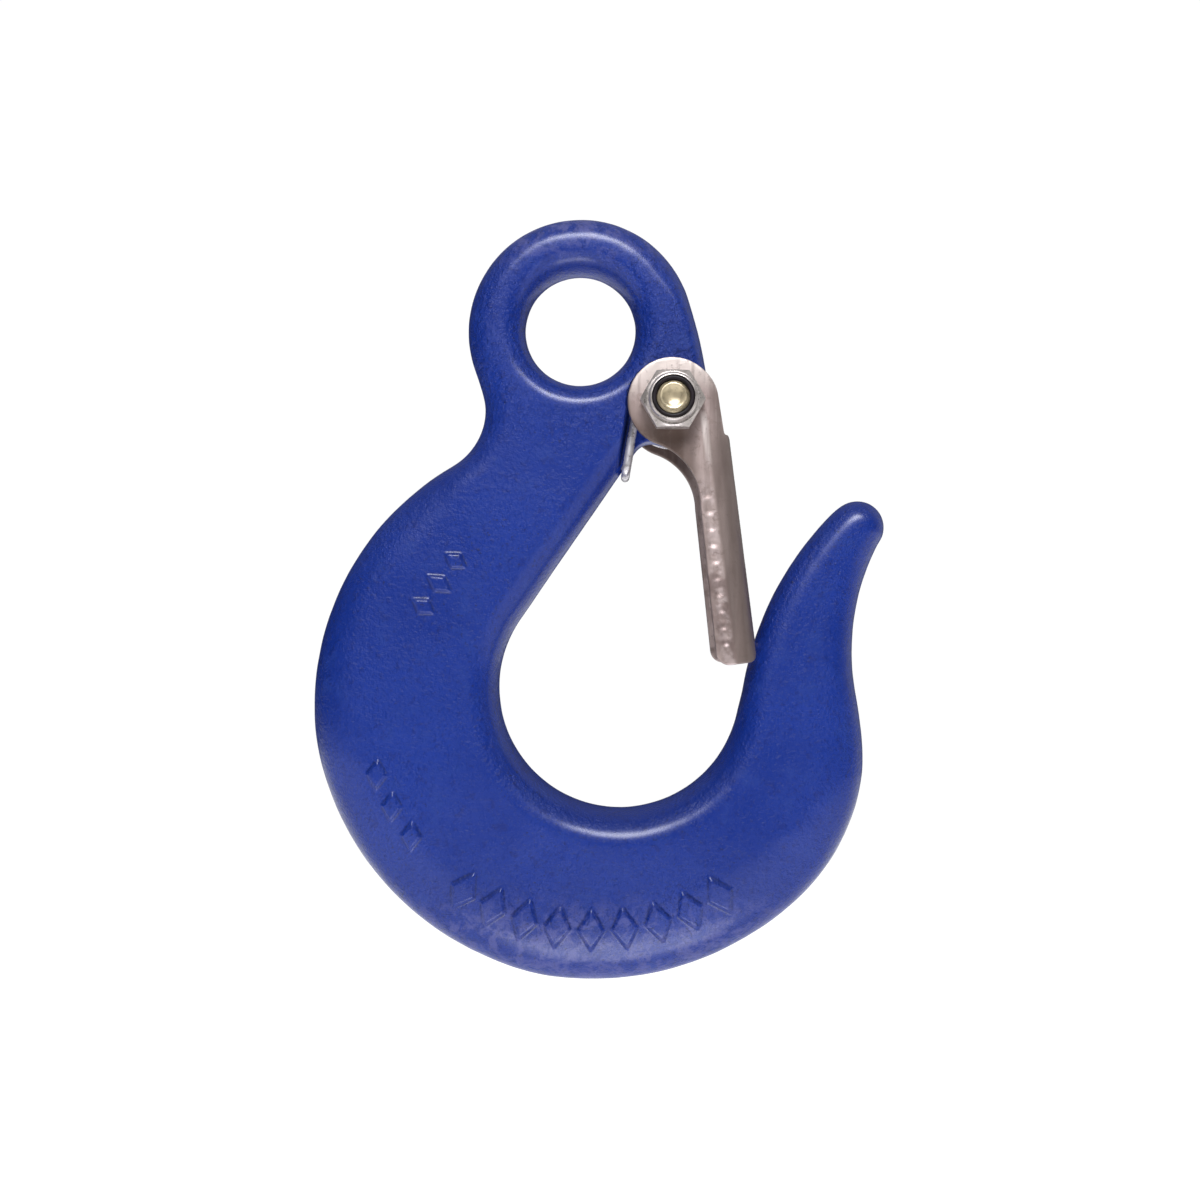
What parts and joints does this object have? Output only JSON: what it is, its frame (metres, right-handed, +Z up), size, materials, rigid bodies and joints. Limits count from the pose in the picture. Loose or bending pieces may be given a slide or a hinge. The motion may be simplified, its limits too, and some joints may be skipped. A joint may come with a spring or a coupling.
{
  "type": "eye hook with latch",
  "caption": "Forged eye hook with a wide bowl; a spring-loaded sheet-steel latch hinged below the eye closes the throat and opens inwards.",
  "frame": {"origin": "centre of the eye's hole, at the middle of its thickness", "axes": "+Z up along the hanging hook from the bowl to the eye, +X towards the throat's opening and the tip, +Y through the thickness, away from the nut side"},
  "size_m": [0.1775, 0.0475, 0.2366],
  "materials": {
    "hook_paint": "glossy deep blue paint over a forged surface",
    "latch_steel": "plain stamped steel, warm grey",
    "fastener_zinc": "bright zinc plate with a slight yellow tint",
    "insert_nylon": "dark nylon",
    "spring_wire": "bright spring steel wire"
  },
  "bodies": {
    "hook": {"hook_body": "hook_paint", "latch_bolt": "fastener_zinc", "latch_nut": "fastener_zinc", "nut_insert": "insert_nylon"},
    "latch": {"latch": "latch_steel", "latch_spring": "spring_wire"}
  },
  "joints": [
    {"name": "latch_hinge", "type": "hinge", "parent": "hook", "child": "latch", "pos_m": [0.0282, 0, -0.024], "axis": [0, 1, 0], "range_deg": [0, 44], "stiffness_Nm_per_rad": 1.2, "springref_deg": -20.05, "deforming": ["latch_spring"]}
  ]
}
